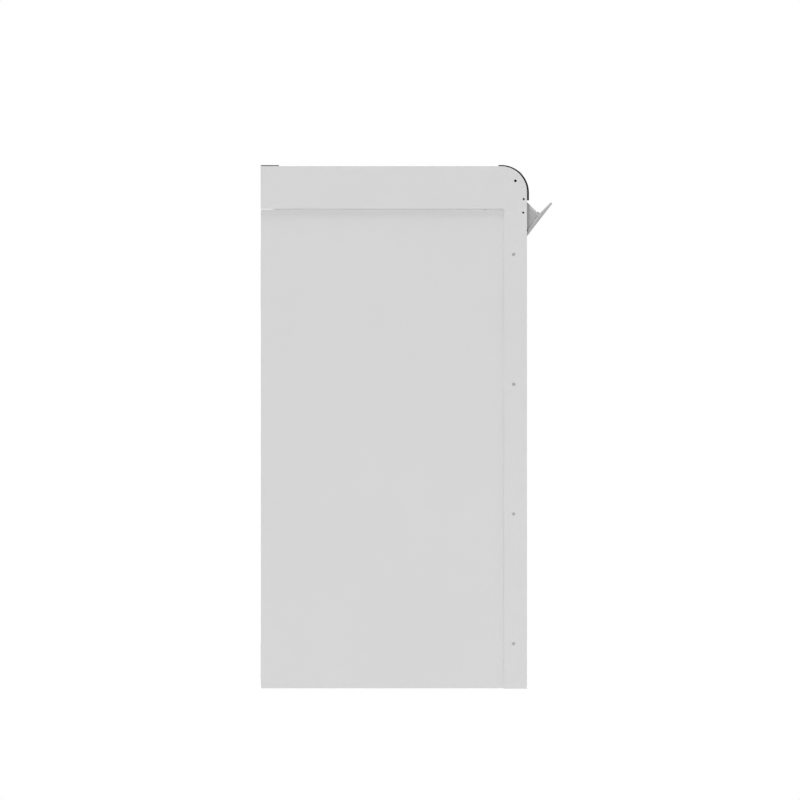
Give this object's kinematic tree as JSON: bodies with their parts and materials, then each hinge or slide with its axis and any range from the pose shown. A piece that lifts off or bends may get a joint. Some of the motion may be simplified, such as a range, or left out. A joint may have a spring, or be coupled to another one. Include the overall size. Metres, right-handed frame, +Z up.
{
  "type": "wall battery unit",
  "caption": "Wall-hung home battery cabinet with side caps, a round gloss black top edge and a narrow flap that tips open over a control bay.",
  "frame": {"origin": "centre of the wall bracket's bolt pattern, on the wall plane", "axes": "+Z up, +Y into the wall, the front faces -Y"},
  "size_m": [0.48, 0.335, 0.6013],
  "materials": {
    "body_paint": "fine matt powder coat, light grey white",
    "flap_paint": "satin mid grey paint",
    "fascia_black": "gloss black",
    "vent_grey": "matt dark grey moulding",
    "galvanised": "galvanised sheet, satin",
    "bracket_steel": "zinc plated, satin",
    "zinc_screw": "zinc plated, satin",
    "black_screw": "black, matt",
    "bay_grey": "matt dark grey moulding",
    "switch_white": "matt off-white moulding",
    "switch_black": "matt black moulding",
    "knob_red": "satin red moulding",
    "button_steel": "brushed stainless",
    "seal_rubber": "matt black rubber",
    "magnet_nickel": "nickel plated",
    "lens_clear": "clear moulded light pipe",
    "board_green": "green circuit board",
    "cell_blue": "film-wrapped aluminium can",
    "tray_plastic": "black flame-retardant moulding",
    "end_plate_alu": "milled aluminium",
    "busbar_metal": "bright aluminium bar",
    "black_case": "black moulded case",
    "fuse_ceramic": "ceramic tube",
    "lead_orange": "orange insulated lead",
    "converter_alu": "cast aluminium housing",
    "sink_alu": "extruded aluminium",
    "fan_black": "black moulding",
    "gland_black": "black polyamide",
    "socket_orange": "orange moulding",
    "brass_stud": "bright brass"
  },
  "bodies": {
    "cabinet": {"battery_leads": "lead_orange", "bms_board": "board_green", "breaker_body": "switch_white", "busbars": "busbar_metal", "button_bezel": "button_steel", "cable_glands": "gland_black", "cells_lower": "cell_blue", "cells_upper": "cell_blue", "chassis": "galvanised", "contactor": "black_case", "control_bay": "bay_grey", "converter_case": "converter_alu", "data_ports": "black_case", "deck": "galvanised", "display_fascia": "fascia_black", "earth_stud": "brass_stud", "electronics_plate": "galvanised", "end_plates": "end_plate_alu", "fan_frames": "fan_black", "fascia_screws": "black_screw", "front_panel": "body_paint", "front_posts": "body_paint", "fuse": "fuse_ceramic", "gland_nuts": "gland_black", "gland_plate": "galvanised", "hanger_hook": "bracket_steel", "head_panel": "body_paint", "heat_sink": "sink_alu", "hinge_brackets": "galvanised", "hinge_pins": "zinc_screw", "hinge_screws": "black_screw", "hook_bolts": "zinc_screw", "indicator_board": "board_green", "isolator_base": "switch_black", "light_pipes": "lens_clear", "lower_tabs": "bracket_steel", "magnet_catches": "magnet_nickel", "module_shelf": "galvanised", "module_straps": "bracket_steel", "module_trays": "tray_plastic", "power_sockets": "socket_orange", "rear_vent_strip": "vent_grey", "side_cap_left": "body_paint", "side_cap_right": "body_paint", "side_skin_left": "body_paint", "side_skin_right": "body_paint", "strip_screws": "zinc_screw", "terminal_block": "black_case", "top_panel": "body_paint", "wall_bracket": "bracket_steel"},
    "flap": {"flap_panel": "flap_paint", "flap_cheek_left": "flap_paint", "flap_cheek_right": "flap_paint", "flap_seal": "seal_rubber", "catch_plates": "zinc_screw"},
    "breaker_lever": {"breaker_toggle": "switch_black"},
    "isolator_handle": {"isolator_knob": "knob_red"},
    "button": {"power_button": "switch_black"},
    "fan_left": {"fan_rotor_left": "fan_black"},
    "fan_right": {"fan_rotor_right": "fan_black"}
  },
  "joints": [
    {"name": "flap_hinge", "type": "hinge", "parent": "cabinet", "child": "flap", "pos_m": [0, -0.3008, 0.06165], "axis": [1, 0, 0], "range_deg": [-37.8, 0]},
    {"name": "breaker_switch", "type": "hinge", "parent": "cabinet", "child": "breaker_lever", "pos_m": [-0.172, -0.2748, 0.0645], "axis": [1, 0, 0], "range_deg": [0, 50]},
    {"name": "isolator_turn", "type": "hinge", "parent": "cabinet", "child": "isolator_handle", "pos_m": [-0.108, -0.2698, 0.067], "axis": [0, 1, 0], "range_deg": [0, 90]},
    {"name": "button_push", "type": "slide", "parent": "cabinet", "child": "button", "axis": [0, 1, 0], "range_m": [0, 0.0025], "stiffness_N_per_m": 600},
    {"name": "fan_left_spin", "type": "hinge", "parent": "cabinet", "child": "fan_left", "pos_m": [-0.11, -0.03, 0.085], "axis": [0, 1, 0], "continuous": true},
    {"name": "fan_right_spin", "type": "hinge", "parent": "cabinet", "child": "fan_right", "pos_m": [0.11, -0.03, 0.085], "axis": [0, 1, 0], "continuous": true}
  ]
}
